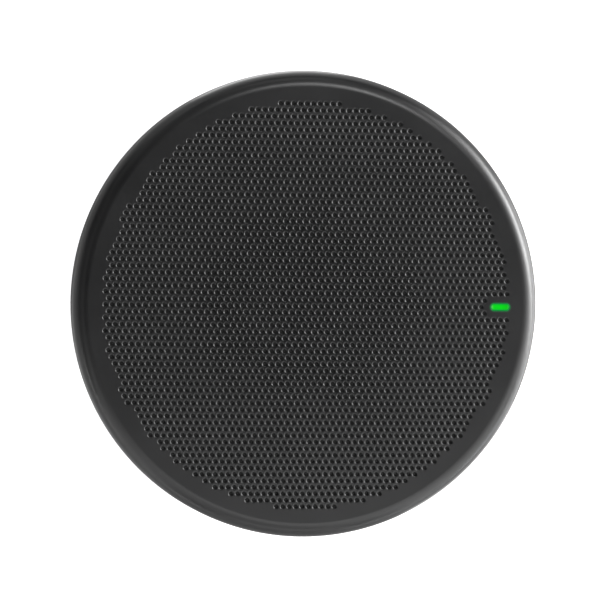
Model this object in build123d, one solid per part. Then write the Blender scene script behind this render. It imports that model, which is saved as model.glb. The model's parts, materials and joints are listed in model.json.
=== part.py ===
from build123d import *
from build123d.topology.shape_core import SkipClean
import math
import os

# Round table-top conference speakerphone, millimetres.
# Frame: +Z up, origin on the table under the middle of the rubber foot,
# +X towards the status light, -X towards the port bay, -Y towards the side keys.

# ---------------------------------------------------------------- driving dimensions
H = 36.0                 # overall height
R_MAX = 72.5             # widest radius, at the top cover's lower edge
Z_EDGE = 25.4            # height of the top cover's lower edge
R_FLAT = 67.0            # the flat top ends here and the shoulder begins
R_SHOULDER = 4.99        # shoulder radius
DRAFT = 5.0              # draft of the cover's skirt, degrees
PLATE = 0.8              # thickness of the perforated plate
CLOTH = 0.4              # thickness of the acoustic cloth
PITCH = 2.0              # perforation: pitch in a row and between rows
HOLE_R = 0.6             # perforation bore radius
FIELD = 31.35            # perforated field's radius, in pitches
R_WEB = 63.55            # the strips that carry the holes end here
LED_X = 30 * PITCH       # status light's centre
LED_L, LED_W = 6.0, 2.2  # status light's length (along X) and width
BOSS_R, BOSS_RAD = 65.8, 2.2
Z_SEAM = 25.0            # top of the lower housing's outer wall
Z_BASE = 1.6             # underside of the lower housing
Z_FLOOR = 4.0            # inside floor
TAPER = 0.2948           # radius gained per mm of height by the lower wall
R_CORNER = 65.26         # where the taper line meets the underside
WALL = 2.3
POST_XY = 41.0           # housing posts
BOARD_POST = 31.1        # circuit board posts
FOOT_R0, FOOT_R1, FOOT_H = 43.5, 52.5, 2.5
FRAME_Z0, FRAME_Z1 = 26.0, 28.0
BOARD_Z0, BOARD_Z1 = 6.5, 8.1
BAY_X, BAY_Y, BAY_Z0, BAY_Z1 = -62.0, 24.0, 6.6, 22.8
KEY_X, KEY_W, KEY_Z0, KEY_Z1 = 17.0, 13.0, 13.0, 19.0
KEY_ZC = (KEY_Z0 + KEY_Z1) / 2
KEY_CORNER = 1.6
KEY_GAP = 0.25
KEY_PROUD = 0.5
KEY_TRAVEL = 0.4
POWER_Y, POWER_Z = 17.0, 14.0

NODES = {}


# ---------------------------------------------------------------- helpers
def box(x0, x1, y0, y1, z0, z1):
    return Pos((x0 + x1) / 2, (y0 + y1) / 2, (z0 + z1) / 2) * Box(x1 - x0, y1 - y0, z1 - z0)


def cyl(x, y, r, z0, z1):
    return Pos(x, y, (z0 + z1) / 2) * Cylinder(r, z1 - z0)


def cyl_x(y, z, r, x0, x1):
    return Pos((x0 + x1) / 2, y, z) * Rot(0, 90, 0) * Cylinder(r, x1 - x0)


def cyl_y(x, z, r, y0, y1):
    return Pos(x, (y0 + y1) / 2, z) * Rot(90, 0, 0) * Cylinder(r, y1 - y0)


def tube(r0, r1, z0, z1):
    return cyl(0, 0, r1, z0, z1) - cyl(0, 0, r0, z0 - 1, z1 + 1)


def rev(start, *items):
    """Solid of revolution about Z from (radius, height) points; an item that holds two points is an arc through the first to the second."""
    v = lambda p: Vector(p[0], 0, p[1])
    edges, cur = [], start
    for it in list(items) + [start]:
        if isinstance(it[0], tuple):
            edges.append(Edge.make_three_point_arc(v(cur), v(it[0]), v(it[1])))
            cur = it[1]
        elif it != cur:
            edges.append(Edge.make_line(v(cur), v(it)))
            cur = it
    return revolve(Face(Wire(edges)), axis=Axis.Z)


def corner(a, c, b, r):
    """Tangent point, middle and tangent point of a fillet of radius r at corner c between a and b."""
    u = ((a[0] - c[0]), (a[1] - c[1]))
    w = ((b[0] - c[0]), (b[1] - c[1]))
    lu, lw = math.hypot(*u), math.hypot(*w)
    u, w = (u[0] / lu, u[1] / lu), (w[0] / lw, w[1] / lw)
    half = math.acos(u[0] * w[0] + u[1] * w[1]) / 2
    t = r / math.tan(half)
    n = (u[0] + w[0], u[1] + w[1])
    ln = math.hypot(*n)
    n = (n[0] / ln, n[1] / ln)
    d = r / math.sin(half)
    mid = (c[0] + n[0] * (d - r), c[1] + n[1] * (d - r))
    return (c[0] + u[0] * t, c[1] + u[1] * t), mid, (c[0] + w[0] * t, c[1] + w[1] * t)


def polar(r, deg):
    return r * math.cos(math.radians(deg)), r * math.sin(math.radians(deg))


def slot_prism(cx, cy, length, width, z0, z1):
    """Pill-shaped prism, long along X."""
    s = (length - width) / 2
    return box(cx - s, cx + s, cy - width / 2, cy + width / 2, z0, z1) + cyl(cx - s, cy, width / 2, z0, z1) + cyl(cx + s, cy, width / 2, z0, z1)


def slot_prism_x(cy, cz, length, height, x0, x1):
    """Pill-shaped prism along X, long along Y."""
    s = (length - height) / 2
    return box(x0, x1, cy - s, cy + s, cz - height / 2, cz + height / 2) + cyl_x(cy - s, cz, height / 2, x0, x1) + cyl_x(cy + s, cz, height / 2, x0, x1)


def prism_y(x, z, w, h, r, y0, y1):
    """Rounded rectangle in the XZ plane, drawn out along -Y from -y0 to -y1."""
    return extrude(Plane.XZ.offset(y0) * Pos(x, z) * RectangleRounded(w, h, r), y1 - y0)


def screw_up(x, y, z_head, head_r, head_h, shank_r, z_tip):
    """Screw driven upwards: head below z_head with a cross recess, shank up to z_tip."""
    s = cyl(x, y, head_r, z_head - head_h, z_head) + cyl(x, y, shank_r, z_head - 0.01, z_tip)
    w = head_r * 0.22
    c = box(x - head_r * 0.62, x + head_r * 0.62, y - w, y + w, z_head - head_h - 0.1, z_head - head_h * 0.45)
    d = box(x - w, x + w, y - head_r * 0.62, y + head_r * 0.62, z_head - head_h - 0.1, z_head - head_h * 0.45)
    return s - c - d


def screw_down(x, y, z_head, head_r, head_h, shank_r, z_tip):
    """Screw driven downwards: head above z_head, shank down to z_tip."""
    s = cyl(x, y, head_r, z_head, z_head + head_h) + cyl(x, y, shank_r, z_tip, z_head + 0.01)
    w = head_r * 0.22
    c = box(x - head_r * 0.62, x + head_r * 0.62, y - w, y + w, z_head + head_h * 0.45, z_head + head_h + 0.1)
    d = box(x - w, x + w, y - head_r * 0.62, y + head_r * 0.62, z_head + head_h * 0.45, z_head + head_h + 0.1)
    return s - c - d


def keep(name, *shapes):
    solids = []
    for s in shapes:
        solids += list(s.solids())
    NODES[name] = solids[0] if len(solids) == 1 else Compound(children=solids)


# ---------------------------------------------------------------- top cover
# Rows of holes: even rows sit on whole pitches, odd rows half a pitch along. Three rows stop short of the light.
rows = {}
for k in range(-31, 32):
    off = 0.5 if k % 2 else 0.0
    rows[k] = [
        (n + off) * PITCH
        for n in range(-34, 35)
        if math.hypot(n + off, k) <= FIELD and not (abs(k) <= 1 and n + off >= 28)
    ]
HOLES = [(x, k * PITCH) for k, xs in rows.items() for x in xs]
print("holes", len(HOLES))


def strip(y0, y1, holes, extra=()):
    """One strip of the round plate, from y0 to y1, with its holes."""
    R = R_WEB
    e = []
    x0 = math.sqrt(max(R * R - y0 * y0, 0)) if abs(y0) < R else 0
    x1 = math.sqrt(max(R * R - y1 * y1, 0)) if abs(y1) < R else 0
    if x0 and x1:
        ym = (y0 + y1) / 2
        xm = math.sqrt(R * R - ym * ym)
        e = [
            Edge.make_line((-x0, y0), (x0, y0)),
            Edge.make_three_point_arc((x0, y0), (xm, ym), (x1, y1)),
            Edge.make_line((x1, y1), (-x1, y1)),
            Edge.make_three_point_arc((-x1, y1), (-xm, ym), (-x0, y0)),
        ]
    elif x0:
        e = [Edge.make_line((-x0, y0), (x0, y0)), Edge.make_three_point_arc((x0, y0), (0, R), (-x0, y0))]
    else:
        e = [Edge.make_line((-x1, y1), (x1, y1)), Edge.make_three_point_arc((x1, y1), (0, -R), (-x1, y1))]
    inner = [Wire.make_circle(HOLE_R, Plane((x, y, 0))) for x, y in holes] + list(extra)
    return Solid.extrude(Face(Wire(e), inner), Vector(0, 0, PLATE)).moved(Location((0, 0, H - PLATE)))


led_l, led_w = LED_L + 0.1, LED_W + 0.1
s = (led_l - led_w) / 2
led_slot = Wire(
    [
        Edge.make_line((LED_X - s, -led_w / 2), (LED_X + s, -led_w / 2)),
        Edge.make_three_point_arc((LED_X + s, -led_w / 2), (LED_X + s + led_w / 2, 0), (LED_X + s, led_w / 2)),
        Edge.make_line((LED_X + s, led_w / 2), (LED_X - s, led_w / 2)),
        Edge.make_three_point_arc((LED_X - s, led_w / 2), (LED_X - s - led_w / 2, 0), (LED_X - s, -led_w / 2)),
    ]
)
strips = []
for k, xs in rows.items():
    if k in (-1, 1):
        continue
    if k == 0:
        mid = [(x, j * PITCH) for j in (-1, 0, 1) for x in rows[j]]
        strips.append(strip(-1.5 * PITCH, 1.5 * PITCH, mid, (led_slot,)))
        continue
    lo = (k - 0.5) * PITCH if k > -31 else -R_WEB - 1
    hi = (k + 0.5) * PITCH if k < 31 else R_WEB + 1
    strips.append(strip(lo, hi, [(x, k * PITCH) for x in xs]))

a = math.radians(DRAFT)
zc = H - R_SHOULDER
tan_r = R_FLAT + R_SHOULDER * math.cos(a)
tan_z = zc + R_SHOULDER * math.sin(a)
m = math.radians(47.5)
ri = R_SHOULDER - 2.2
rim = rev(
    (R_WEB, H),
    (R_FLAT, H),
    ((R_FLAT + R_SHOULDER * math.cos(m), zc + R_SHOULDER * math.sin(m)), (tan_r, tan_z)),
    (R_MAX, Z_EDGE),
    (R_MAX - 2.2, Z_EDGE),
    (R_FLAT + ri * math.cos(a), zc + ri * math.sin(a)),
    ((R_FLAT + ri * math.cos(m), zc + ri * math.sin(m)), (R_FLAT, zc + ri)),
    (R_WEB + 1.0, zc + ri),
    (R_WEB, H - PLATE),
)
for i in range(6):
    x, y = polar(BOSS_R, 30 + 60 * i)
    rim = rim + cyl(x, y, BOSS_RAD, FRAME_Z1, zc + ri + 0.3)
for i in range(6):
    x, y = polar(BOSS_R, 30 + 60 * i)
    rim = rim - cyl(x, y, 0.9, FRAME_Z1 - 1, 33.4)
with SkipClean():
    top = rim.solid().fuse(*strips)
keep("top_cover", top)

# ---------------------------------------------------------------- acoustic cloth, status light
Z_CLOTH1 = H - PLATE
Z_CLOTH0 = Z_CLOTH1 - CLOTH
cloth = cyl(0, 0, 63.3, Z_CLOTH0, Z_CLOTH1) - slot_prism(LED_X, 0, LED_L + 0.3, LED_W + 0.3, 33, 36)
keep("grille_cloth", cloth)
lens = slot_prism(LED_X, 0, LED_L, LED_W, Z_CLOTH0 - 0.2, H) + slot_prism(LED_X, 0, 7.8, 4.0, Z_CLOTH0 - 1.2, Z_CLOTH0) + slot_prism(LED_X, 0, 5.0, 1.8, 30.4, Z_CLOTH0 - 1.1)
keep("status_lens", lens)
keep("status_leds", *[box(LED_X + d - 0.8, LED_X + d + 0.8, -0.4, 0.4, 29.2, 30.0) for d in (-1.9, 0, 1.9)])

# ---------------------------------------------------------------- lower housing
t_out = lambda z: R_CORNER + TAPER * (z - Z_BASE)
p1, pm, p2 = corner((0, Z_BASE), (R_CORNER, Z_BASE), (t_out(24.8), 24.8), 5.0)
outer = rev((0, Z_BASE), p1, (pm, p2), (t_out(24.8), 24.8), (t_out(24.8), Z_SEAM), (0, Z_SEAM))
ci = (R_CORNER - WALL + TAPER * (Z_FLOOR - Z_BASE), Z_FLOOR)
z_lip = Z_BASE + (68.0 - (R_CORNER - WALL)) / TAPER
q1, qm, q2 = corner((0, Z_FLOOR), ci, (68.0, z_lip), 3.0)
cavity = rev((0, Z_FLOOR), q1, (qm, q2), (68.0, z_lip), (68.0, 30.0), (0, 30.0))
housing = outer + tube(68.0, 69.8, Z_SEAM - 0.1, 27.8)
housing = housing - cavity
bay_block = box(-80, BAY_X + 2.0, -BAY_Y - 2, BAY_Y + 2, Z_FLOOR - 0.1, 24.9) & outer
housing = housing + bay_block
for sx in (-1, 1):
    for sy in (-1, 1):
        housing = housing + cyl(sx * POST_XY, sy * POST_XY, 4.0, Z_FLOOR - 0.1, 18.0)
        housing = housing + cyl(sx * BOARD_POST, sy * BOARD_POST, 3.0, Z_FLOOR - 0.1, BOARD_Z0)
for sx in (-1, 1):
    pillar = box(min(sx * 23.6, sx * 27.0), max(sx * 23.6, sx * 27.0), -58.8, -54.8, Z_FLOOR - 0.1, 21.0)
    housing = housing + pillar
# bay, and its windows
housing = housing - box(-90, BAY_X, -BAY_Y, BAY_Y, BAY_Z0, BAY_Z1)
housing = housing - box(-63, -58, -18.1, -1.9, 8.0, 21.6)
housing = housing - slot_prism_x(6.0, 9.73, 9.24, 3.56, -63, -58)
housing = housing - cyl_x(POWER_Y, POWER_Z, 3.75, -63, -58)
# screw wells, board post pilots, foot groove, label recess
for sx in (-1, 1):
    for sy in (-1, 1):
        housing = housing - cyl(sx * POST_XY, sy * POST_XY, 1.45, 0, 19)
        housing = housing - cyl(sx * POST_XY, sy * POST_XY, 2.7, 0, 12.0)
        housing = housing - cyl(sx * BOARD_POST, sy * BOARD_POST, 0.85, 4.8, 7)
housing = housing - tube(FOOT_R0 - 0.1, FOOT_R1 + 0.1, 0, FOOT_H)
housing = housing - cyl(0, 0, 28.1, 0, 1.9)
# side key windows and the key board's slots
for kx in (-KEY_X, 0, KEY_X):
    housing = housing - prism_y(kx, KEY_ZC, KEY_W + 2 * KEY_GAP, KEY_Z1 - KEY_Z0 + 2 * KEY_GAP, KEY_CORNER + KEY_GAP, 60, 80)
housing = housing - box(-25.1, 25.1, -57.5, -56.1, 9.9, 22)
keep("lower_housing", housing)

keep("foot_ring", rev((FOOT_R0, 0.6), ((FOOT_R0 + 0.18, 0.18), (FOOT_R0 + 0.6, 0)), (FOOT_R1 - 0.6, 0), ((FOOT_R1 - 0.18, 0.18), (FOOT_R1, 0.6)), (FOOT_R1, FOOT_H), (FOOT_R0, FOOT_H)))
keep("blank_label", cyl(0, 0, 28.0, 1.7, 1.9))
keep("seam_gasket", tube(70.5, 71.4, Z_SEAM, Z_EDGE))

# ---------------------------------------------------------------- inner frame
frame = tube(31.0, 67.8, FRAME_Z0, FRAME_Z1)
for sx in (-1, 1):
    for sy in (-1, 1):
        frame = frame + cyl(sx * POST_XY, sy * POST_XY, 3.5, 18.0, FRAME_Z0 + 0.1)
        frame = frame - cyl(sx * POST_XY, sy * POST_XY, 1.25, 17, 25.0)
for i in range(6):
    x, y = polar(BOSS_R, 30 + 60 * i)
    frame = frame - cyl(x, y, 0.95, 25, 29)
for i in range(4):
    x, y = polar(33.5, 45 + 90 * i)
    frame = frame - cyl(x, y, 0.85, 25, 29)
    x, y = polar(38.4, 90 * i + 20)
    frame = frame - cyl(x, y, 0.85, 25, 27.7)
for i in range(3):
    x, y = polar(46.0, 60 + 120 * i)
    frame = frame - cyl(x, y, 0.85, 25, 29)
flex_slot = box(44.2, 46.0, -3.8, 3.8, 20, 32)
lead_x, lead_y = polar(43.2, 22.5)
frame = frame - flex_slot - cyl(lead_x, lead_y, 2.2, 20, 32)
keep("inner_frame", frame)

# ---------------------------------------------------------------- microphone board
mic_board = tube(38.0, 62.6, 28.0, 29.2) - flex_slot - cyl(lead_x, lead_y, 2.2, 20, 32)
for i in range(3):
    x, y = polar(46.0, 60 + 120 * i)
    mic_board = mic_board - cyl(x, y, 1.0, 27, 30)
keep("mic_board", mic_board)
mics, boots = [], []
for i in range(6):
    x, y = polar(52.0, 30 + 60 * i)
    mics.append(box(x - 1.75, x + 1.75, y - 1.32, y + 1.32, 29.2, 30.3))
    boots.append(cyl(x, y, 4.0, 29.2, Z_CLOTH0) - box(x - 2.1, x + 2.1, y - 1.7, y + 1.7, 29.0, 30.6) - cyl(x, y, 0.75, 30, 35))
keep("mic_capsules", *mics)
keep("mic_boots", *boots)
keep("mic_board_screws", *[screw_down(*polar(46.0, 60 + 120 * i), 29.2, 1.8, 1.0, 0.8, 26.4) for i in range(3)])
keep("flex_connector", box(46.8, 50.6, -4.0, 4.0, 29.2, 30.8))

# ---------------------------------------------------------------- loudspeaker
basket = rev((14.5, 17.9), (20.6, 17.9), (29.6, 28.0), (35.5, 28.0), (35.5, 29.2), (27.6, 29.2), (27.6, 28.5), (19.6, 18.9), (14.5, 18.9))
basket = basket - box(-9, 9, -50, 50, 20.6, 26.4) - box(-50, 50, -9, 9, 20.6, 26.4)
for i in range(4):
    basket = basket - cyl(*polar(33.5, 45 + 90 * i), 1.0, 27, 30)
keep("driver_basket", basket)
keep("driver_screws", *[screw_down(*polar(33.5, 45 + 90 * i), 29.2, 1.8, 1.0, 0.8, 26.3) for i in range(4)])
keep("driver_surround", rev((21.0, 28.9), (22.6, 28.9), ((25.1, 31.2), (27.6, 29.2)), (29.4, 29.2), (29.4, 29.7), (27.9, 29.7), ((25.1, 31.8), (22.3, 29.4)), (21.0, 29.4)))
keep("driver_cone", rev((22.2, 28.9), (20.6, 28.9), (10.4, 24.1), (10.4, 23.4), (21.0, 28.4), (22.2, 28.4)))
slope = (28.9 - 24.1) / (20.6 - 10.4)
def dome(apex, r, z, mid_r):
    """Middle and end of a spherical arc whose centre is on the axis, from the apex to (r, z)."""
    rs = (r * r + (apex - z) ** 2) / (2 * (apex - z))
    return (mid_r, apex - rs + math.sqrt(rs * rs - mid_r * mid_r))


cap_out = (12.2, 24.1 + 1.8 * slope)
cap_in = (11.2, 24.1 + 0.8 * slope)
keep("driver_dust_cap", rev((0, 27.6), (dome(27.6, *cap_out, 6.5), cap_out), cap_in, (dome(27.1, *cap_in, 6.0), (0, 27.1))))
keep("voice_coil", tube(9.9, 10.4, 14.6, 24.0) + tube(10.39, 10.85, 14.8, 18.6))
keep(
    "driver_spider",
    rev((10.4, 21.0), (12.0, 21.0), (13.2, 20.4), (14.4, 21.0), (15.6, 20.4), (16.8, 20.4), (18.0, 19.3), (19.4, 19.3), (19.4, 18.9), (17.8, 18.9), (16.6, 20.0), (15.4, 20.0), (14.4, 20.5), (13.2, 20.0), (12.0, 20.6), (10.4, 20.6)),
)
keep("driver_top_plate", tube(11.3, 20.0, 16.4, 17.9))
keep("driver_magnet", tube(12.2, 21.0, 12.4, 16.4))
keep("driver_yoke", cyl(0, 0, 20.5, 10.9, 12.4) + cyl(0, 0, 9.4, 12.3, 18.2))
keep("driver_gasket", tube(29.6, 35.4, 29.2, Z_CLOTH0) - Compound([cyl(*polar(33.5, 45 + 90 * i), 2.2, 29, 31).solid() for i in range(4)]))
rot = Rot(0, 0, 22.5)
keep("driver_terminals", rot * box(35.6, 37.8, -2.6, 2.6, 28.0, 29.6))
cup = rev((0, 9.4), (34.6, 9.4), ((35.6, 9.8), (36.0, 10.8)), (36.0, 24.0), (40.4, 24.0), (40.4, 25.6), (34.4, 25.6), (34.4, 10.8), (0, 10.8))
gasket = tube(34.6, 40.2, 25.6, 26.0)
for i in range(4):
    x, y = polar(38.4, 90 * i + 20)
    cup = cup - cyl(x, y, 1.0, 23, 27)
    gasket = gasket - cyl(x, y, 1.0, 25, 27)
keep("speaker_enclosure", cup)
keep("enclosure_gasket", gasket)
keep("enclosure_screws", *[screw_up(*polar(38.4, 90 * i + 20), 24.0, 1.8, 1.0, 0.8, 27.6) for i in range(4)])

# ---------------------------------------------------------------- main board and what stands on it
board = cyl(0, 0, 50.0, BOARD_Z0, BOARD_Z1) + box(-59.6, -40.0, -21.5, 21.5, BOARD_Z0, BOARD_Z1)
for sx in (-1, 1):
    for sy in (-1, 1):
        board = board - cyl(sx * BOARD_POST, sy * BOARD_POST, 1.0, 6, 9)
keep("main_board", board)
keep("board_screws", *[screw_down(sx * BOARD_POST, sy * BOARD_POST, BOARD_Z1, 1.9, 1.2, 0.8, 5.0) for sx in (-1, 1) for sy in (-1, 1)])
keep("processor", box(-8, 8, -8, 8, BOARD_Z1, BOARD_Z1 + 1.0))
can = box(8.5, 20.5, -45.0, -36.3, BOARD_Z1, BOARD_Z1 + 2.6) - box(8.8, 20.2, -44.7, -36.6, BOARD_Z1 - 0.5, BOARD_Z1 + 2.3)
keep("shield_can", can)
keep("capacitors", *[cyl(*polar(43.0, d), 3.15, BOARD_Z1, BOARD_Z1 + 7.7) for d in (66, 84, 102)])
tx, ty = polar(43.3, 122)
keep("power_transformer", Pos(tx, ty, BOARD_Z1 + 4.5) * Rot(0, 0, 122) * Box(9.0, 10.0, 9.0))
keep(
    "board_connectors",
    box(43.4, 46.8, -4.0, 4.0, BOARD_Z1, BOARD_Z1 + 2.0),
    Pos(lead_x, lead_y, BOARD_Z1 + 1.25) * Rot(0, 0, 22.5) * Box(4.0, 5.0, 2.5),
    box(-8.0, 0.0, -46.0, -42.0, BOARD_Z1, BOARD_Z1 + 2.0),
)
# network socket
jack = box(-62.0, -41.3, -17.7, -2.3, BOARD_Z1, 21.2)
jack = jack - box(-63, -48.5, -15.9, -4.1, 10.2, 17.6) - box(-63, -50.0, -12.9, -7.1, 17.0, 19.6)
lights = [box(-62.0, -60.0, -17.1, -14.3, 18.2, 20.5), box(-62.0, -60.0, -5.7, -2.9, 18.2, 20.5)]
for l in lights:
    jack = jack - l
keep("ethernet_jack", jack)
keep("jack_lights", *lights)
keep("jack_shield", box(-62.0, -41.0, -18.0, -2.0, BOARD_Z1, 21.5) - box(-63, -41.3, -17.7, -2.3, 7, 21.2))
pts = [(-60.6, 10.4), (-60.6, 10.7), (-50.0, 12.4), (-48.5, 12.4), (-48.5, 12.1), (-50.0, 12.1)]
contacts = []
for i in range(8):
    y = -10.0 + (i - 3.5) * 1.02
    w = Wire([Edge.make_line(Vector(pts[j][0], y - 0.225, pts[j][1]), Vector(pts[(j + 1) % 6][0], y - 0.225, pts[(j + 1) % 6][1])) for j in range(6)])
    contacts.append(Solid.extrude(Face(w), Vector(0, 0.45, 0)))
keep("jack_contacts", *contacts)
# USB-C receptacle
shell = slot_prism_x(6.0, 9.73, 8.94, 3.26, -62.0, -54.6) - slot_prism_x(6.0, 9.73, 8.34, 2.66, -63.0, -54.9)
keep("usb_c_shell", shell)
keep("usb_c_tongue", box(-61.2, -56.2, 2.7, 9.3, 9.38, 10.08) + slot_prism_x(6.0, 9.73, 8.3, 2.62, -56.3, -54.9))

# ---------------------------------------------------------------- power key
pk = cyl_x(POWER_Y, POWER_Z, 3.5, -62.9, -59.3).solids()[0]
pk = pk.fillet(0.4, [e for e in pk.edges() if e.center().X < -62.8])
mark = cyl_x(POWER_Y, POWER_Z, 1.6, -63, -62.7) - cyl_x(POWER_Y, POWER_Z, 1.15, -64, -62) - box(-64, -62, POWER_Y - 0.7, POWER_Y + 0.7, POWER_Z, POWER_Z + 3)
mark = mark + box(-63, -62.7, POWER_Y - 0.22, POWER_Y + 0.22, POWER_Z + 0.3, POWER_Z + 2.1)
keep("power_key", pk - mark + cyl_x(POWER_Y, POWER_Z, 4.7, -59.7, -58.9))
keep("power_plunger", cyl_x(POWER_Y, POWER_Z, 1.0, -58.9, -57.5))
keep("power_switch", box(-58.3, -55.6, 14.2, 19.8, BOARD_Z1, 17.5) - cyl_x(POWER_Y, POWER_Z, 1.2, -59, -56.9))

# ---------------------------------------------------------------- side keys
def key_surface(d):
    """The housing's outer surface moved out by d, over the keys' height."""
    return rev((0, 11), (t_out(11) + d, 11), (t_out(21) + d, 21), (0, 21))


def bar_y(x, z, w, h, turn=0.0):
    return extrude(Plane.XZ.offset(60) * Pos(x, z) * Rot(0, 0, turn) * RectangleRounded(w, h, min(w, h) * 0.49), 20)


# generic marks sunk into the key faces: minus, ringed slash, plus
marks = {
    "volume_down": [bar_y(-KEY_X, KEY_ZC, 3.2, 0.6)],
    "mute": [extrude(Plane.XZ.offset(60) * Pos(0, KEY_ZC) * (Circle(1.75) - Circle(1.25)), 20), bar_y(0, KEY_ZC, 4.6, 0.5, 45)],
    "volume_up": [bar_y(KEY_X, KEY_ZC, 3.2, 0.6), bar_y(KEY_X, KEY_ZC, 0.6, 3.2)],
}
face_env = key_surface(KEY_PROUD)
mark_env = key_surface(KEY_PROUD - 0.25)
switches = []
for name, kx in (("volume_down", -KEY_X), ("mute", 0.0), ("volume_up", KEY_X)):
    cap = face_env & prism_y(kx, KEY_ZC, KEY_W, KEY_Z1 - KEY_Z0, KEY_CORNER, 60.2, 80)
    cap = cap.solids()[0]
    front = [e for e in cap.edges() if e.center().Y < -64.0 and abs(e.tangent_at(0.5).Y) < 0.75]
    try:
        cap = cap.fillet(0.35, front)
    except Exception as why:
        print("no fillet on", name, why)
    for mk in marks[name]:
        cap = cap - (mk - mark_env)
    cap = cap + box(kx - KEY_W / 2 - 1.1, kx + KEY_W / 2 + 1.1, -61.0, -60.2, 12.2, 19.8)
    keep(name + "_key", cap)
    keep(name + "_plunger", cyl_y(kx, KEY_ZC, 1.0, -60.2, -58.9))
    switches.append(box(kx - 2.6, kx + 2.6, -59.6, -57.4, 13.4, 18.6) - cyl_y(kx, KEY_ZC, 1.2, -60.0, -58.2))
keep("side_switches", *switches)
keep("side_key_board", box(-25.0, 25.0, -57.4, -56.2, 10.0, 21.5))

# ---------------------------------------------------------------- screws, leads and flat cables
keep("housing_screws", *[screw_up(sx * POST_XY, sy * POST_XY, 12.0, 2.4, 1.8, 1.2, 24.5) for sx in (-1, 1) for sy in (-1, 1)])
keep("frame_screws", *[screw_up(*polar(BOSS_R, 30 + 60 * i), 26.0, 1.75, 1.2, 0.85, 33.0) for i in range(6)])
leads = []
for off in (-0.9, 0.9):
    path = FilletPolyline((36.7, off, 29.6), (36.7, off, 31.6), (43.2, off, 31.6), (43.2, off, 10.6), radius=1.6)
    leads.append(rot * sweep(Plane((36.7, off, 29.6), z_dir=(0, 0, 1)) * Circle(0.5), path=path))
keep("speaker_leads", *leads)
keep("mic_flex_cable", box(44.9, 45.2, -3.0, 3.0, 10.1, 30.3) + box(45.1, 46.8, -3.0, 3.0, 30.0, 30.3))
pts = [(-56.2, 14.15), (-50.35, 14.15), (-50.35, 9.45), (-46.0, 9.45), (-46.0, 9.15), (-50.65, 9.15), (-50.65, 13.85), (-56.2, 13.85)]
w = Wire([Edge.make_line(Vector(-7, *pts[j]), Vector(-7, *pts[(j + 1) % 8])) for j in range(8)])
keep("key_flex_cable", Solid.extrude(Face(w), Vector(6.0, 0, 0)))

# ---------------------------------------------------------------- one file per node
os.makedirs("parts", exist_ok=True)
for name, shape in NODES.items():
    export_step(shape, "parts/" + name + ".step")
print("nodes", len(NODES))
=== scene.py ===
import json
import math

import bpy
import numpy as np
from mathutils import Matrix, Vector
from mathutils.geometry import delaunay_2d_cdt


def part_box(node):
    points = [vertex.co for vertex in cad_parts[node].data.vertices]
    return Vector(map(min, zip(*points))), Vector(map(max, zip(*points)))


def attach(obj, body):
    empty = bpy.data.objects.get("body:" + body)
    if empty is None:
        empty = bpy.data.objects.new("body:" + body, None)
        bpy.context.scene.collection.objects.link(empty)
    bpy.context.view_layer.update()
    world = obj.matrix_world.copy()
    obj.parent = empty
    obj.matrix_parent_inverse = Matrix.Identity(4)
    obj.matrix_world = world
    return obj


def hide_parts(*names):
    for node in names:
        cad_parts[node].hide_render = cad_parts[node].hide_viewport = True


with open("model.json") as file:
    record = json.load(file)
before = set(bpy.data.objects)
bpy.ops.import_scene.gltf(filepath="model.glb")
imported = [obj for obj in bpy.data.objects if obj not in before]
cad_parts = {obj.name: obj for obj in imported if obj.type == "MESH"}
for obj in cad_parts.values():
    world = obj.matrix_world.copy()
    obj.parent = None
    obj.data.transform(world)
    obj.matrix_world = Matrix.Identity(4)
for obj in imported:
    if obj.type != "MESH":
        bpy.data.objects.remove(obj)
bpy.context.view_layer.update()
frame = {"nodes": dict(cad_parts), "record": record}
NODES = frame["nodes"]
MM = 0.001

cover_lo, cover_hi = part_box("top_cover")
H = cover_hi[2] / MM              # top face
R_MAX = cover_hi[0] / MM          # widest radius
Z_EDGE = cover_lo[2] / MM         # cover's lower edge
cloth_lo, cloth_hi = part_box("grille_cloth")
Z_UNDER = cloth_hi[2] / MM        # plate's underside
Z_FLANGE = cloth_lo[2] / MM       # top of the light guide's flange
lens_lo, lens_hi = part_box("status_lens")
PITCH = 2.0
FIELD = 31.35
R_FLAT = 67.0
R_SH = 4.99
DRAFT = math.radians(5.0)
LED_X = 30 * PITCH
# a hole's dished mouth and bore: radius, depth, slope of the surface there in degrees
MOUTH = [(0.93, 0.0, 4.0), (0.86, 0.02, 26.0), (0.70, 0.13, 42.0), (0.60, 0.24, 60.0)]


# ------------------------------------------------------------------ materials
def new_mat(name):
    m = bpy.data.materials.new(name)
    m.use_nodes = True
    nt = m.node_tree
    nt.nodes.clear()
    out = nt.nodes.new("ShaderNodeOutputMaterial")
    bsdf = nt.nodes.new("ShaderNodeBsdfPrincipled")
    nt.links.new(bsdf.outputs["BSDF"], out.inputs["Surface"])
    return m, nt, bsdf


def add(nt, kind, **values):
    n = nt.nodes.new(kind)
    for k, v in values.items():
        if k in n.inputs.keys():
            n.inputs[k].default_value = v
        else:
            setattr(n, k, v)
    return n


def coords(nt):
    return add(nt, "ShaderNodeTexCoord").outputs["Object"]


def noise(nt, vec, scale, detail=3.0, rough=0.5):
    n = add(nt, "ShaderNodeTexNoise")
    n.inputs["Scale"].default_value = scale
    n.inputs["Detail"].default_value = detail
    n.inputs["Roughness"].default_value = rough
    nt.links.new(vec, n.inputs["Vector"])
    return n.outputs["Fac"]


def remap(nt, val, a, b, c, d):
    n = add(nt, "ShaderNodeMapRange")
    for i, v in zip((1, 2, 3, 4), (a, b, c, d)):
        n.inputs[i].default_value = v
    nt.links.new(val, n.inputs[0])
    return n.outputs[0]


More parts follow.
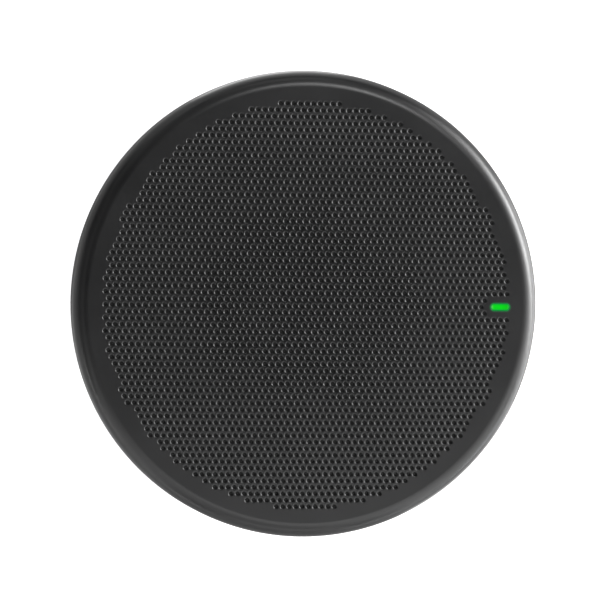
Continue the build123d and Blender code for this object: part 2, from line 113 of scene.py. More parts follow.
def math_node(nt, op, a, b=None):
    n = add(nt, "ShaderNodeMath", operation=op)
    for i, v in enumerate((a, b)):
        if v is None:
            continue
        if isinstance(v, (int, float)):
            n.inputs[i].default_value = v
        else:
            nt.links.new(v, n.inputs[i])
    return n.outputs[0]


def mix_colour(nt, fac, a, b):
    n = add(nt, "ShaderNodeMix", data_type="RGBA")
    for sock, v in ((n.inputs[6], a), (n.inputs[7], b)):
        if hasattr(v, "links"):
            nt.links.new(v, sock)
        else:
            sock.default_value = (*v, 1.0) if len(v) == 3 else v
    nt.links.new(fac, n.inputs[0])
    return n.outputs[2]


def bump(nt, height, distance, strength=1.0, normal=None):
    n = add(nt, "ShaderNodeBump")
    n.inputs["Strength"].default_value = strength
    n.inputs["Distance"].default_value = distance
    nt.links.new(height, n.inputs["Height"])
    if normal is not None:
        nt.links.new(normal, n.inputs["Normal"])
    return n.outputs["Normal"]


def plastic(name, dark, light, rough=(0.45, 0.55), grain=2600.0, depth=0.000012, blotch=45.0, coat=0.0, metallic=0.0, spec=0.5):
    """Moulded plastic: faint colour clouds, uneven gloss and a fine spark-eroded grain."""
    m, nt, b = new_mat(name)
    v = coords(nt)
    cloud = noise(nt, v, blotch, 4.0, 0.55)
    fine = noise(nt, v, grain, 2.0, 0.6)
    mid = noise(nt, v, grain * 0.32, 3.0, 0.5)
    tone = math_node(nt, "ADD", math_node(nt, "MULTIPLY", cloud, 0.65), math_node(nt, "MULTIPLY", fine, 0.35))
    nt.links.new(mix_colour(nt, remap(nt, tone, 0.3, 0.7, 0.0, 1.0), dark, light), b.inputs["Base Color"])
    rr = math_node(nt, "ADD", math_node(nt, "MULTIPLY", cloud, 0.5), math_node(nt, "MULTIPLY", mid, 0.5))
    nt.links.new(remap(nt, rr, 0.3, 0.7, rough[0], rough[1]), b.inputs["Roughness"])
    h = math_node(nt, "ADD", math_node(nt, "MULTIPLY", fine, 0.6), math_node(nt, "MULTIPLY", mid, 0.4))
    nt.links.new(bump(nt, h, depth), b.inputs["Normal"])
    b.inputs["Metallic"].default_value = metallic
    b.inputs["Specular IOR Level"].default_value = spec
    b.inputs["Coat Weight"].default_value = coat
    return m


def metal(name, dark, light, rough=(0.25, 0.4), axis=(1, 1, 14), scale=260.0, depth=0.000006):
    """Rolled or brushed metal: fine streaks along one axis, with small stains."""
    m, nt, b = new_mat(name)
    v = coords(nt)
    mp = add(nt, "ShaderNodeMapping")
    mp.inputs["Scale"].default_value = axis
    nt.links.new(v, mp.inputs["Vector"])
    streak = noise(nt, mp.outputs["Vector"], scale, 3.0, 0.6)
    cloud = noise(nt, v, 90.0, 4.0, 0.6)
    tone = math_node(nt, "ADD", math_node(nt, "MULTIPLY", streak, 0.5), math_node(nt, "MULTIPLY", cloud, 0.5))
    nt.links.new(mix_colour(nt, remap(nt, tone, 0.3, 0.7, 0.0, 1.0), dark, light), b.inputs["Base Color"])
    nt.links.new(remap(nt, tone, 0.3, 0.7, rough[0], rough[1]), b.inputs["Roughness"])
    nt.links.new(bump(nt, streak, depth), b.inputs["Normal"])
    b.inputs["Metallic"].default_value = 1.0
    return m


def weave(name, dark, light, pitch=0.00024, depth=0.00004, rough=0.85, metallic=0.0):
    """Plain woven mesh: warp and weft as crossing waves, over and under in turn."""
    m, nt, b = new_mat(name)
    v = coords(nt)
    sep = add(nt, "ShaderNodeSeparateXYZ")
    nt.links.new(v, sep.inputs[0])
    k = math.pi / pitch
    sx = math_node(nt, "SINE", math_node(nt, "MULTIPLY", sep.outputs[0], k))
    sy = math_node(nt, "SINE", math_node(nt, "MULTIPLY", sep.outputs[1], k))
    over = math_node(nt, "MULTIPLY", sx, sy)
    thread = math_node(nt, "ADD", math_node(nt, "ABSOLUTE", sx), math_node(nt, "ABSOLUTE", sy))
    h = math_node(nt, "ADD", math_node(nt, "MULTIPLY", over, 0.5), math_node(nt, "MULTIPLY", thread, 0.5))
    # the colour follows the weave's height: threads on top are lighter, the hollows under and between them are painted
    # darker, a painted shade
    tone = remap(nt, h, -0.2, 1.3, 0.0, 1.0)
    fuzz = noise(nt, v, 5200.0, 2.0, 0.6)
    nt.links.new(mix_colour(nt, math_node(nt, "MULTIPLY", tone, fuzz), dark, light), b.inputs["Base Color"])
    nt.links.new(remap(nt, fuzz, 0.3, 0.7, rough - 0.08, rough + 0.08), b.inputs["Roughness"])
    nt.links.new(bump(nt, h, depth), b.inputs["Normal"])
    b.inputs["Metallic"].default_value = metallic
    b.inputs["Sheen Weight"].default_value = 0.15
    return m


def pcb(name):
    """Solder-masked board: green mask, lighter copper tracks under it, and small round vias."""
    m, nt, b = new_mat(name)
    v = coords(nt)
    mp = add(nt, "ShaderNodeMapping")
    mp.inputs["Scale"].default_value = (1, 1, 0.001)
    nt.links.new(v, mp.inputs["Vector"])
    vor = add(nt, "ShaderNodeTexVoronoi")
    vor.feature = "F1"
    vor.distance = "CHEBYCHEV"
    vor.inputs["Scale"].default_value = 420.0
    nt.links.new(mp.outputs["Vector"], vor.inputs["Vector"])
    tracks = remap(nt, vor.outputs["Distance"], 0.30, 0.34, 0.0, 1.0)
    via = add(nt, "ShaderNodeTexVoronoi")
    via.inputs["Scale"].default_value = 260.0
    nt.links.new(mp.outputs["Vector"], via.inputs["Vector"])
    dots = remap(nt, via.outputs["Distance"], 0.10, 0.13, 1.0, 0.0)
    base = mix_colour(nt, tracks, (0.006, 0.075, 0.03), (0.014, 0.14, 0.05))
    base = mix_colour(nt, dots, base, (0.55, 0.5, 0.36))
    nt.links.new(base, b.inputs["Base Color"])
    h = math_node(nt, "ADD", math_node(nt, "MULTIPLY", tracks, 0.6), math_node(nt, "MULTIPLY", dots, 0.4))
    nt.links.new(bump(nt, h, 0.00003), b.inputs["Normal"])
    nt.links.new(remap(nt, noise(nt, v, 900.0), 0.3, 0.7, 0.28, 0.4), b.inputs["Roughness"])
    return m


def light_pipe(name):
    """Glowing green light guide: bright core, paler at both ends where the light enters, darker along its rim."""
    m, nt, b = new_mat(name)
    v = coords(nt)
    sep = add(nt, "ShaderNodeSeparateXYZ")
    nt.links.new(v, sep.inputs[0])
    x = math_node(nt, "SUBTRACT", sep.outputs[0], LED_X * MM)
    y = sep.outputs[1]
    ax = math_node(nt, "ABSOLUTE", x)
    core = math_node(nt, "MAXIMUM", math_node(nt, "SUBTRACT", ax, 0.0019), 0.0)
    d = math_node(nt, "SQRT", math_node(nt, "ADD", math_node(nt, "MULTIPLY", core, core), math_node(nt, "MULTIPLY", y, y)))
    rim = remap(nt, d, 0.00048, 0.00110, 0.0, 1.0)
    grain = noise(nt, v, 1400.0, 3.0, 0.6)
    end = remap(nt, ax, 0.0020, 0.0026, 0.0, 1.0)
    left = remap(nt, x, -0.0030, -0.0022, 1.0, 0.0)
    hot = math_node(nt, "ADD", math_node(nt, "MULTIPLY", end, 0.14), math_node(nt, "MULTIPLY", left, 0.75))
    col = mix_colour(nt, remap(nt, x, 0.0004, 0.0026, 0.0, 1.0), (0.0, 0.62, 0.006), (0.0, 0.44, 0.0))
    col = mix_colour(nt, hot, col, (0.26, 0.80, 0.26))
    col = mix_colour(nt, rim, col, (0.0, 0.17, 0.036))
    col = mix_colour(nt, remap(nt, grain, 0.35, 0.65, 0.0, 0.18), col, (0.0, 0.45, 0.01))
    nt.links.new(col, b.inputs["Emission Color"])
    b.inputs["Emission Strength"].default_value = 1.0
    nt.links.new(mix_colour(nt, rim, (0.002, 0.05, 0.004), (0.002, 0.03, 0.006)), b.inputs["Base Color"])
    nt.links.new(remap(nt, grain, 0.3, 0.7, 0.26, 0.36), b.inputs["Roughness"])
    nt.links.new(bump(nt, grain, 0.000008), b.inputs["Normal"])
    b.inputs["Specular IOR Level"].default_value = 0.03
    return m




def cover_plastic():
    """Fine-grained black plastic, smoother towards the middle of the perforated field; its colour there is painted
    darker, a painted shade for the light falling off towards the middle.
    """
    m, nt, b = new_mat("cover_plastic")
    v = coords(nt)
    sep = add(nt, "ShaderNodeSeparateXYZ")
    nt.links.new(v, sep.inputs[0])
    x, y = sep.outputs[0], sep.outputs[1]
    r = math_node(nt, "SQRT", math_node(nt, "ADD", math_node(nt, "MULTIPLY", x, x), math_node(nt, "MULTIPLY", y, y)))
    field = remap(nt, r, 0.022, 0.060, 1.0, 0.0)
    cloud = noise(nt, v, 45.0, 4.0, 0.55)
    fine = noise(nt, v, 3200.0, 2.0, 0.6)
    mid = noise(nt, v, 1000.0, 3.0, 0.5)
    tone = math_node(nt, "ADD", math_node(nt, "MULTIPLY", cloud, 0.65), math_node(nt, "MULTIPLY", fine, 0.35))
    tone = remap(nt, tone, 0.3, 0.7, 0.0, 1.0)
    plain = mix_colour(nt, tone, (0.0045, 0.0045, 0.0048), (0.0085, 0.0085, 0.0088))
    # painted shade: the base colour of the perforated field is darker towards the middle, standing in for the light
    # falling off there
    field_painted_shade = mix_colour(nt, tone, (0.0010, 0.0010, 0.0011), (0.0030, 0.0030, 0.0032))
    nt.links.new(mix_colour(nt, field, plain, field_painted_shade), b.inputs["Base Color"])
    rr = math_node(nt, "ADD", math_node(nt, "MULTIPLY", cloud, 0.5), math_node(nt, "MULTIPLY", mid, 0.5))
    rough = math_node(nt, "SUBTRACT", remap(nt, rr, 0.3, 0.7, 0.30, 0.37), math_node(nt, "MULTIPLY", field, 0.07))
    nt.links.new(rough, b.inputs["Roughness"])
    h = math_node(nt, "ADD", math_node(nt, "MULTIPLY", fine, 0.6), math_node(nt, "MULTIPLY", mid, 0.4))
    nt.links.new(bump(nt, h, 0.000006), b.inputs["Normal"])
    # painted glow: a faint green emission on the plastic right beside the light, standing in for light cast by the lens
    # onto the cover
    lx = math_node(nt, "ABSOLUTE", math_node(nt, "SUBTRACT", x, LED_X * MM))
    core = math_node(nt, "MAXIMUM", math_node(nt, "SUBTRACT", lx, 0.0019), 0.0)
    d = math_node(nt, "SQRT", math_node(nt, "ADD", math_node(nt, "MULTIPLY", core, core), math_node(nt, "MULTIPLY", y, y)))
    painted_spill_glow = remap(nt, d, 0.00110, 0.00160, 1.0, 0.0)
    nt.links.new(mix_colour(nt, painted_spill_glow, (0.0, 0.0, 0.0), (0.0, 0.15, 0.036)), b.inputs["Emission Color"])
    b.inputs["Emission Strength"].default_value = 1.0
    return m


COVER = cover_plastic()
HOUSING = plastic("housing_plastic", (0.012, 0.012, 0.0125), (0.020, 0.020, 0.0205), rough=(0.44, 0.56), grain=2400.0, depth=0.000012)
BY_SLOT = {
    "cover_black": COVER,
    "housing_black": HOUSING,
    "cloth_black": weave("acoustic_cloth", (0.010, 0.010, 0.010), (0.036, 0.036, 0.036)),
    "light_green": light_pipe("green_light_pipe"),
    "rubber_black": plastic("rubber", (0.018, 0.018, 0.018), (0.034, 0.034, 0.033), rough=(0.72, 0.88), grain=1800.0, depth=0.00002),
    "key_black": plastic("key_plastic", (0.016, 0.016, 0.017), (0.027, 0.027, 0.028), rough=(0.34, 0.46), grain=3000.0, depth=0.000006),
    "frame_grey": plastic("glass_filled_nylon", (0.055, 0.055, 0.06), (0.10, 0.10, 0.105), rough=(0.5, 0.65), grain=1500.0, depth=0.00002),
    "board_green": pcb("circuit_board"),
    "chip_black": plastic("moulded_epoxy", (0.012, 0.012, 0.014), (0.026, 0.026, 0.028), rough=(0.42, 0.55), grain=4200.0, depth=0.00001),
    "steel": metal("plated_steel", (0.50, 0.50, 0.50), (0.66, 0.66, 0.65)),
    "screw_steel": metal("black_zinc", (0.10, 0.10, 0.105), (0.20, 0.20, 0.205), rough=(0.3, 0.45)),
    "gold": metal("gold_plating", (0.72, 0.48, 0.16), (0.88, 0.63, 0.27), rough=(0.16, 0.28)),
    "copper": metal("enamelled_copper", (0.42, 0.14, 0.06), (0.70, 0.28, 0.13), rough=(0.2, 0.35), axis=(1, 1, 40)),
    "ferrite": plastic("ferrite", (0.035, 0.035, 0.038), (0.075, 0.075, 0.08), rough=(0.55, 0.75), grain=2000.0, depth=0.00003),
    "paper_black": plastic("cone_paper", (0.012, 0.012, 0.012), (0.035, 0.034, 0.032), rough=(0.8, 0.95), grain=900.0, depth=0.00005),
    "spider_tan": weave("spider_cloth", (0.22, 0.12, 0.045), (0.62, 0.42, 0.2), pitch=0.0005, depth=0.0001),
    "foam_black": plastic("foam", (0.012, 0.012, 0.012), (0.05, 0.05, 0.05), rough=(0.85, 0.98), grain=1100.0, depth=0.00012),
    "label_grey": plastic("label_film", (0.07, 0.07, 0.072), (0.10, 0.10, 0.102), rough=(0.35, 0.45), grain=3500.0, depth=0.000004),
    "connector_white": plastic("connector_nylon", (0.62, 0.58, 0.48), (0.78, 0.75, 0.66), rough=(0.4, 0.5), grain=1800.0, depth=0.00001),
    "flex_amber": plastic("polyimide", (0.42, 0.16, 0.02), (0.62, 0.28, 0.05), rough=(0.2, 0.3), grain=1200.0, depth=0.00001, coat=0.3),
    "wire_red": plastic("wire_insulation", (0.35, 0.012, 0.01), (0.5, 0.03, 0.02), rough=(0.3, 0.4), grain=2000.0, depth=0.00001),
    "lamp_clear": plastic("frosted_lamp", (0.5, 0.52, 0.42), (0.72, 0.74, 0.6), rough=(0.25, 0.35), grain=2500.0, depth=0.00001),
    "can_silver": metal("drawn_aluminium", (0.62, 0.62, 0.63), (0.8, 0.8, 0.81), rough=(0.2, 0.34)),
}
for sp in frame["record"]["subparts"]:
    ob = NODES.get(sp["node"])
    if ob is None or ob.type != "MESH":
        continue
    mat = BY_SLOT[sp["material_slot"]]
    if not ob.material_slots:
        ob.data.materials.append(mat)
    for s in ob.material_slots:
        s.material = mat


# ------------------------------------------------------------------ top cover mesh
def link(ob):
    bpy.context.scene.collection.objects.link(ob)
    return ob


rows = {}
for k in range(-31, 32):
    off = 0.5 if k % 2 else 0.0
    rows[k] = [
        n + off
        for n in range(-34, 35)
        if math.hypot(n + off, k) <= FIELD and not (abs(k) <= 1 and n + off >= 28)
    ]
holes = np.array([(x, k) for k, xs in rows.items() for x in xs])

CELL = [(8, 0), (8, 6), (4, 8), (0, 10), (-4, 8), (-8, 6), (-8, 0), (-8, -6), (-4, -8), (0, -10), (4, -8), (8, -6)]
N = 12
web_index, web_pts = {}, []


def web_vertex(key):
    if key not in web_index:
        web_index[key] = len(web_pts)
        web_pts.append((key[0] / 16 * PITCH, key[1] / 16 * PITCH))
    return web_index[key]


edge_use = {}
cells = []
for x, k in holes:
    kx, ky = int(round(x * 16)), int(round(k * 16))
    ids = [web_vertex((kx + dx, ky + dy)) for dx, dy in CELL]
    cells.append(ids)
    for j in range(N):
        e = (ids[j], ids[(j + 1) % N])
        edge_use[tuple(sorted(e))] = edge_use.get(tuple(sorted(e)), 0) + 1
cells = np.array(cells)
nweb = len(web_pts)
border = [e for e, n in edge_use.items() if n == 1]

# outline rings: light slot and the edge of the flat
NL = 32


def pill(length, width, n=NL, cx=LED_X, cy=0.0):
    s, r = (length - width) / 2, width / 2
    pts = []
    q = n // 2
    for j in range(q):
        a = -math.pi / 2 + math.pi * j / (q - 1)
        pts.append((cx + s + r * math.cos(a), cy + r * math.sin(a)))
    for j in range(q):
        a = math.pi / 2 + math.pi * j / (q - 1)
        pts.append((cx - s + r * math.cos(a), cy + r * math.sin(a)))
    return np.array(pts)


NA = 288
az = np.arange(NA) * 2 * math.pi / NA
ring = np.c_[np.cos(az), np.sin(az)]
slot_top = pill(6.0 + 0.34, 2.2 + 0.34)
slot_wall = pill(6.0 + 0.10, 2.2 + 0.10)

used = sorted({i for e in border for i in e})
back = {i: j for j, i in enumerate(used)}
pts2 = [Vector(web_pts[i]) for i in used] + [Vector(p) for p in slot_top] + [Vector(p) for p in ring * R_FLAT]
b0, s0, r0 = 0, len(used), len(used) + NL
edges2 = [(back[a], back[b]) for a, b in border]
edges2 += [(s0 + j, s0 + (j + 1) % NL) for j in range(NL)]
edges2 += [(r0 + j, r0 + (j + 1) % NA) for j in range(NA)]
vo, _, fo, vi, _, _ = delaunay_2d_cdt(pts2, edges2, [], 1, 1e-7)
remap_v = []
for j, orig in enumerate(vi):
    remap_v.append(orig[0] if orig else None)
assert all(v is not None for v in remap_v), "border triangulation added points"
hole_set = {(int(round(x * 16)), int(round(k * 16))) for x, k in holes}


def in_cells(x, y):
    """True if (x, y) in mm is inside a hole's cell: the nearest site of the lattice has a hole there."""
    best = None
    k0 = int(round(y / PITCH))
    for k in (k0 - 1, k0, k0 + 1):
        off = 0.5 if k % 2 else 0.0
        n = round(x / PITCH - off) + off
        for i in (n - 1, n, n + 1):
            d = (x / PITCH - i) ** 2 + (y / PITCH - k) ** 2
            if best is None or d < best[0]:
                best = (d, (int(round(i * 16)), int(round(k * 16))))
    return best[1] in hole_set


def in_slot(x, y):
    r = (2.2 + 0.34) / 2
    dx = max(abs(x - LED_X) - (6.0 - 2.2) / 2, 0)
    return math.hypot(dx, y) < r - 1e-4


tris = []
for f in fo:
    p = [vo[i] for i in f]
    cx, cy = sum(q.x for q in p) / 3, sum(q.y for q in p) / 3
    if in_cells(cx, cy) or in_slot(cx, cy) or math.hypot(cx, cy) > R_FLAT:
        continue
    area = (p[1].x - p[0].x) * (p[2].y - p[0].y) - (p[2].x - p[0].x) * (p[1].y - p[0].y)
    t = [remap_v[i] for i in f]
    tris.append(t if area > 0 else t[::-1])

verts, faces, normals = [], [], []      # normals: one per face corner
vcount = 0


def put(points):
    global vcount
    points = np.asarray(points, float)
    verts.append(points)
    i = vcount
    vcount += len(points)
    return i


web = np.array(web_pts)
top0 = put(np.c_[web, np.full(nweb, H)])
bot0 = put(np.c_[web, np.full(nweb, Z_UNDER)])
nh = len(holes)
ang = np.arange(N) * 2 * math.pi / N
circ = np.c_[np.cos(ang), np.sin(ang)]
ctr = holes * PITCH


def hole_ring(r, z):
    p = ctr[:, None, :] + circ[None] * r
    return put(np.concatenate([p, np.full((nh, N, 1), z)], 2).reshape(-1, 3))


rings = [(r, H - d, tilt) for r, d, tilt in MOUTH] + [(MOUTH[-1][0], Z_UNDER, 90.0)]
starts = [hole_ring(r, z) for r, z, _ in rings]
UP, DOWN = (0.0, 0.0, 1.0), (0.0, 0.0, -1.0)
hid = np.arange(nh)[:, None] * N + np.arange(N)[None]
hnx = hid * 0 + (np.arange(N)[None] + 1) % N + np.arange(nh)[:, None] * N
nxt = np.roll(cells, -1, axis=1)


def quads(a, b, c, d, na, nb, nc, nd):
    """Quads from index arrays with one normal per corner."""
    q = np.stack([a, b, c, d], -1).reshape(-1, 4)
    faces.append(q)
    n = np.stack([np.broadcast_to(x, a.shape + (3,)) for x in (na, nb, nc, nd)], -2).reshape(-1, 4, 3)
    normals.append(n)



def around(tilt):
    t = math.radians(tilt)
    n = np.zeros((nh, N, 3))
    n[..., 0] = -circ[None, :, 0] * math.sin(t)
    n[..., 1] = -circ[None, :, 1] * math.sin(t)
    n[..., 2] = math.cos(t)
    return n


edge_n = around(rings[0][2])
quads(top0 + cells, top0 + nxt, starts[0] + hnx, starts[0] + hid, UP, UP, np.roll(edge_n, -1, 1), edge_n)
LAST = len(rings) - 1
for j in range(LAST):
    na, nb = around(rings[j][2] if j < LAST - 1 else 90.0), around(rings[j + 1][2])
    quads(starts[j] + hid, starts[j] + hnx, starts[j + 1] + hnx, starts[j + 1] + hid, na, np.roll(na, -1, 1), np.roll(nb, -1, 1), nb)
quads(starts[LAST] + hid, starts[LAST] + hnx, bot0 + nxt, bot0 + cells, DOWN, DOWN, DOWN, DOWN)

# border triangles, top and underside
slot0 = put(np.c_[slot_top, np.full(NL, H)])
slot1 = put(np.c_[slot_wall, np.full(NL, H - 0.12)])
slot2 = put(np.c_[slot_wall, np.full(NL, Z_UNDER)])
flat_ring = put(np.c_[ring * R_FLAT, np.full(NA, H)])
under_ring = put(np.c_[ring * (R_FLAT - 0.1), np.full(NA, Z_UNDER)])


def to_top(i):
    return top0 + used[i] if i < s0 else (slot0 + i - s0 if i < r0 else flat_ring + i - r0)


def to_bot(i):
    return bot0 + used[i] if i < s0 else (slot2 + i - s0 if i < r0 else under_ring + i - r0)


tri_faces = [[to_top(i) for i in t] for t in tris] + [[to_bot(i) for i in t][::-1] for t in tris]
tri_norms = [[UP] * 3 for _ in tris] + [[DOWN] * 3 for _ in tris]

# slot wall
j = np.arange(NL)
jn = (j + 1) % NL
d = np.roll(slot_wall, -1, 0) - np.roll(slot_wall, 1, 0)
inw = np.c_[-d[:, 1], d[:, 0], np.zeros(NL)]
inw /= np.linalg.norm(inw, axis=1)[:, None]
half = inw + np.array(UP)
half /= np.linalg.norm(half, axis=1)[:, None]
quads(slot0 + j, slot0 + jn, slot1 + jn, slot1 + j, half, half[jn], half[jn], half)
quads(slot1 + j, slot1 + jn, slot2 + jn, slot2 + j, inw, inw[jn], inw[jn], inw)

# rim: (radius, height, normal at the start of the next step, normal at the end of the last step)
zc = H - R_SH
prof = []
for p in np.linspace(0, math.pi / 2 - DRAFT, 15):
    prof.append((R_FLAT + R_SH * math.sin(p), zc + R_SH * math.cos(p), p))
wall_n = math.pi / 2 - DRAFT
z_t = zc + R_SH * math.sin(DRAFT)
for s in (0.35, 0.7, 0.93):
    z = z_t + (Z_EDGE + 0.3 - z_t) * s
    prof.append((R_MAX - (z - Z_EDGE) * math.tan(DRAFT), z, wall_n))
re = 0.3
rc = R_MAX - 0.3 * math.tan(DRAFT) - re * math.cos(DRAFT)
for p in np.linspace(wall_n, math.pi, 5):
    prof.append((rc + re * math.sin(p), Z_EDGE + re + re * math.cos(p), p))
prof.append((R_MAX - 2.2, Z_EDGE, math.pi))
ri = R_SH - 2.2
ring_rows = [flat_ring] + [put(np.c_[ring * r, np.full(NA, z)]) for r, z, _ in prof[1:]]


def ring_normals(p):
    return np.c_[ring * math.sin(p), np.full(NA, math.cos(p))]


ja = np.arange(NA)
jb = (ja + 1) % NA
for i in range(len(prof) - 1):
    na, nb = ring_normals(prof[i][2]), ring_normals(prof[i + 1][2])
    a, b = ring_rows[i], ring_rows[i + 1]
    quads(b + ja, b + jb, a + jb, a + ja, nb, nb[jb], na[jb], na)
# inside of the skirt, up to the plate's underside
ins = []
for t in np.linspace(0, 1, 8)[:-1]:
    p = math.pi / 2 * t
    ins.append((R_FLAT - 0.1 + (ri + 0.1) * math.cos(p), zc + (Z_UNDER - zc) * math.sin(p), p))
ins_rows = [put(np.c_[ring * r, np.full(NA, z)]) for r, z, _ in ins] + [under_ring]
ins.append((0, 0, math.pi / 2))


def in_normals(p):
    return np.c_[-ring * math.cos(p), np.full(NA, -math.sin(p))]


a, b = ring_rows[-1], ins_rows[0]
n0 = in_normals(0)
quads(b + ja, b + jb, a + jb, a + ja, n0, n0[jb], n0[jb], n0)
for i in range(len(ins) - 1):
    na, nb = in_normals(ins[i][2]), in_normals(ins[i + 1][2])
    a, b = ins_rows[i], ins_rows[i + 1]
    quads(b + ja, b + jb, a + jb, a + ja, nb, nb[jb], na[jb], na)

all_verts = np.vstack(verts) * MM
quad_faces = np.vstack(faces)
quad_norms = np.concatenate(normals)


def build_mesh(name, v, q, qn, t=(), tn=()):
    me = bpy.data.meshes.new(name)
    t = np.array(t, int).reshape(-1, 3)
    loops = np.concatenate([q.reshape(-1), t.reshape(-1)])
    me.vertices.add(len(v))
    me.vertices.foreach_set("co", v.reshape(-1))
    me.loops.add(len(loops))
    me.loops.foreach_set("vertex_index", loops)
    me.polygons.add(len(q) + len(t))
    ls = np.concatenate([np.arange(len(q)) * 4, len(q) * 4 + np.arange(len(t)) * 3])
    me.polygons.foreach_set("loop_start", ls)
    me.update(calc_edges=True)
    me.polygons.foreach_set("use_smooth", np.ones(len(q) + len(t), bool))
    n = qn.reshape(-1, 3)
    if len(t):
        n = np.vstack([n, np.array(tn, float).reshape(-1, 3)])
    me.normals_split_custom_set(n.tolist())
    me.validate()
    return me


me = build_mesh("top_cover_shell", all_verts, quad_faces, quad_norms, tri_faces, tri_norms)
me.materials.append(COVER)
cover = link(bpy.data.objects.new("top_cover_shell", me))
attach(cover, "shell")
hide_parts("top_cover")

# ------------------------------------------------------------------ status light lens
NP = 32
levels = [
    (0.0, 30.4, 5.0, 1.8), (0.0, Z_FLANGE - 1.2, 5.0, 1.8), (0.0, Z_FLANGE - 1.2, 7.8, 4.0), (0.0, Z_FLANGE, 7.8, 4.0), (0.0, Z_FLANGE, 6.0, 2.2),
    (0.0, H - 0.16, 6.0, 2.2), (0.0, H - 0.08, 5.92, 2.12), (0.0, H - 0.02, 5.75, 1.95), (0.0, H + 0.03, 5.3, 1.5), (0.0, H + 0.05, 4.7, 0.9), (0.0, H + 0.055, 3.95, 0.15),
]
lens_verts = []
for _, z, L, W in levels:
    p = pill(L, W, NP)
    lens_verts.append(np.c_[p, np.full(NP, z)])
lv = np.vstack(lens_verts) * MM
lq = []
for i in range(len(levels) - 1):
    for j in range(NP):
        a, b = i * NP + j, i * NP + (j + 1) % NP
        lq.append((a, b, b + NP, a + NP))
lme = bpy.data.meshes.new("status_light_lens")
lme.from_pydata(lv.tolist(), [], lq + [tuple(range(NP))[::-1], tuple(range((len(levels) - 1) * NP, len(levels) * NP))])
lme.update()
for p in lme.polygons:
    p.use_smooth = True
sharp = lme.attributes.new("sharp_edge", "BOOLEAN", "EDGE")
flags = np.zeros(len(lme.edges), bool)
for i, e in enumerate(lme.edges):
    a, b = e.vertices
    la, lb = a // NP, b // NP
    if la == lb and la <= 5:
        flags[i] = True
sharp.data.foreach_set("value", flags)
lme.materials.append(BY_SLOT["light_green"])
lens = link(bpy.data.objects.new("status_light_lens", lme))
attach(lens, "shell")
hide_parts("status_lens")

# ------------------------------------------------------------------ floor, world, lights, camera
fm, nt, b = new_mat("pale_floor")
v = coords(nt)
nt.links.new(mix_colour(nt, noise(nt, v, 6.0), (0.42, 0.42, 0.42), (0.46, 0.46, 0.46)), b.inputs["Base Color"])
b.inputs["Roughness"].default_value = 0.9
b.inputs["Emission Color"].default_value = (1, 1, 1, 1)
flp = add(nt, "ShaderNodeLightPath")
nt.links.new(flp.outputs["Is Camera Ray"], b.inputs["Emission Strength"])      # burnt out to plain white for the camera
fme = bpy.data.meshes.new("floor")
s = 3.0
fme.from_pydata([(-s, -s, 0), (s, -s, 0), (s, s, 0), (-s, s, 0)], [], [(0, 1, 2, 3)])
fme.materials.append(fm)
floor = link(bpy.data.objects.new("floor", fme))

WORLD = 0.004
w = bpy.data.worlds.new("studio")
bpy.context.scene.world = w
w.use_nodes = True
wn = w.node_tree
wn.nodes.clear()
wo = wn.nodes.new("ShaderNodeOutputWorld")
bg = wn.nodes.new("ShaderNodeBackground")
bg.inputs["Color"].default_value = (1, 1, 1, 1)
bg.inputs["Strength"].default_value = WORLD
cam_bg = wn.nodes.new("ShaderNodeBackground")
cam_bg.inputs["Color"].default_value = (0.93, 0.93, 0.93, 1)
lp = wn.nodes.new("ShaderNodeLightPath")
mx = wn.nodes.new("ShaderNodeMixShader")
wn.links.new(lp.outputs["Is Camera Ray"], mx.inputs[0])
wn.links.new(bg.outputs[0], mx.inputs[1])
wn.links.new(cam_bg.outputs[0], mx.inputs[2])
wn.links.new(mx.outputs[0], wo.inputs["Surface"])

# name, azimuth from +X, elevation, distance (m), width, height (m), power (W)
LIGHTS = [
    ("low_n90", -90, 4, 0.9, 0.45, 0.12, 0.22),
    ("low_n60", -60, 4, 0.9, 0.45, 0.12, 0.90),
    ("low_n30", -30, 4, 0.9, 0.45, 0.12, 1.95),
    ("low_0", 0, 4, 0.9, 0.45, 0.12, 4.38),
    ("low_30", 30, 4, 0.9, 0.35, 0.10, 0.80),
    ("low_120", 120, 4, 0.9, 0.45, 0.12, 0.33),
    ("low_180", 180, 4, 0.9, 0.45, 0.12, 0.15),
    ("low_210", 210, 4, 0.9, 0.45, 0.12, 0.74),
    ("low_240", 240, 4, 0.9, 0.45, 0.12, 0.60),
    ("key_15", 15, 13, 0.9, 0.40, 0.12, 4.40),
    ("key_30", 30, 13, 0.9, 0.40, 0.12, 2.40),
    ("fill_20", 20, 24, 0.9, 0.35, 0.20, 2.75),
    ("fill_40", 40, 24, 0.9, 0.35, 0.20, 1.00),
    ("fill_30", 30, 33, 0.9, 0.35, 0.15, 0.50),
    ("mid_0", 0, 22, 0.9, 0.50, 0.28, 2.63),
    ("mid_90", 90, 22, 0.9, 0.50, 0.28, 0.53),
    ("mid_135", 135, 22, 0.9, 0.50, 0.28, 0.24),
    ("mid_180", 180, 22, 0.9, 0.50, 0.28, 0.10),
    ("mid_225", 225, 22, 0.9, 0.50, 0.28, 0.88),
    ("mid_270", 270, 22, 0.9, 0.50, 0.28, 0.85),
    ("mid_315", 315, 22, 0.9, 0.50, 0.28, 1.60),
    ("strip", 68, 60, 0.9, 0.32, 0.03, 2.05),
    ("soft_0", 0, 42, 0.9, 0.60, 0.30, 1.19),
    ("soft_45", 45, 42, 0.9, 0.60, 0.30, 0.25),
    ("soft_120", 120, 42, 0.9, 0.60, 0.30, 0.17),
    ("soft_180", 180, 42, 0.9, 0.60, 0.30, 0.22),
    ("soft_225", 225, 42, 0.9, 0.60, 0.30, 0.83),
    ("soft_270", 270, 42, 0.9, 0.60, 0.30, 0.42),
    ("soft_315", 315, 42, 0.9, 0.60, 0.30, 1.54),
    ("high_300", 300, 66, 0.9, 0.60, 0.30, 0.46),
    ("high_270", 270, 62, 0.9, 0.90, 0.30, 1.15),
    ("high_275", 275, 69, 0.9, 0.60, 0.22, 0.40),
]
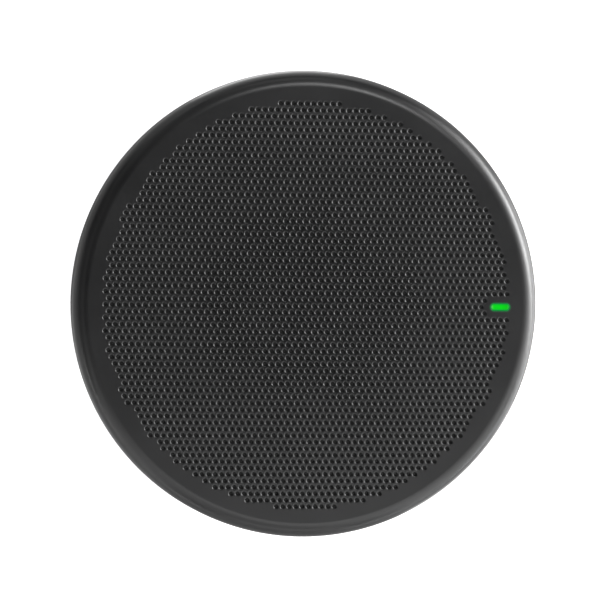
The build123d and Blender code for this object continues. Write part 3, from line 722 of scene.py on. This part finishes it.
for name, a, e, dist, sx, sy, power in LIGHTS:
    ld = bpy.data.lights.new(name, "AREA")
    ld.shape = "RECTANGLE"
    ld.size, ld.size_y, ld.energy = sx, sy, power
    lo = link(bpy.data.objects.new(name, ld))
    a, e = math.radians(a), math.radians(e)
    p = Vector((math.cos(a) * math.cos(e), math.sin(a) * math.cos(e), math.sin(e))) * dist
    lo.location = p + Vector((0, 0, 0.03))
    lo.rotation_mode = "QUATERNION"
    lo.rotation_quaternion = (-p).to_track_quat("-Z", "Y")

# soft panels lying on the table around the object, facing up: name, bearing, distance (m), radial and tangential size (m), power (W)
PANELS = [
    ("panel_far_0", 0, 0.180, 0.13, 0.150, 0.30),
    ("panel_far_90", 92, 0.180, 0.13, 0.120, 0.028),
    ("panel_far_315", 320, 0.180, 0.13, 0.120, 0.040),
    ("panel_far_200", 200, 0.180, 0.13, 0.240, 0.032),
    ("panel_near_98", 98, 0.093, 0.03, 0.060, 0.0085),
    ("panel_near_315", 316, 0.093, 0.03, 0.060, 0.0140),
    ("panel_near_200", 200, 0.093, 0.03, 0.130, 0.0040),
]
for name, bearing, dist, sx, sy, power in PANELS:
    ld = bpy.data.lights.new(name, "AREA")
    ld.shape = "RECTANGLE"
    ld.size, ld.size_y, ld.energy = sx, sy, power
    lo = link(bpy.data.objects.new(name, ld))
    a = math.radians(bearing)
    lo.location = (math.cos(a) * dist, math.sin(a) * dist, 0.0005)
    lo.rotation_mode = "XYZ"
    lo.rotation_euler = (math.pi, 0, a)
    lo.visible_camera = False

TILT, TILT_AZ, ROLL = 6.5454, 155.977, 0.4082
DIST = 0.7837754
AIM = Vector((-0.0005414, 0.0002836, 0.0305))
cd = bpy.data.cameras.new("camera")
cd.lens, cd.sensor_width = 150.0, 36.0
cd.clip_start, cd.clip_end = 0.01, 20.0
cam = link(bpy.data.objects.new("camera", cd))
t, ta = math.radians(TILT), math.radians(TILT_AZ)
back = Vector((math.sin(t) * math.cos(ta), math.sin(t) * math.sin(ta), math.cos(t)))
right = Vector((1, 0, 0))
up = back.cross(right).normalized()
right = up.cross(back).normalized()
rl = math.radians(ROLL)
r2 = right * math.cos(rl) + up * math.sin(rl)
u2 = up * math.cos(rl) - right * math.sin(rl)
cam.rotation_mode = "QUATERNION"
cam.matrix_world = Matrix((r2, u2, back)).transposed().to_4x4()
cam.location = AIM + back * DIST
bpy.context.scene.camera = cam
bpy.context.scene.view_settings.view_transform = "Standard"
bpy.context.scene.view_settings.look = "None"
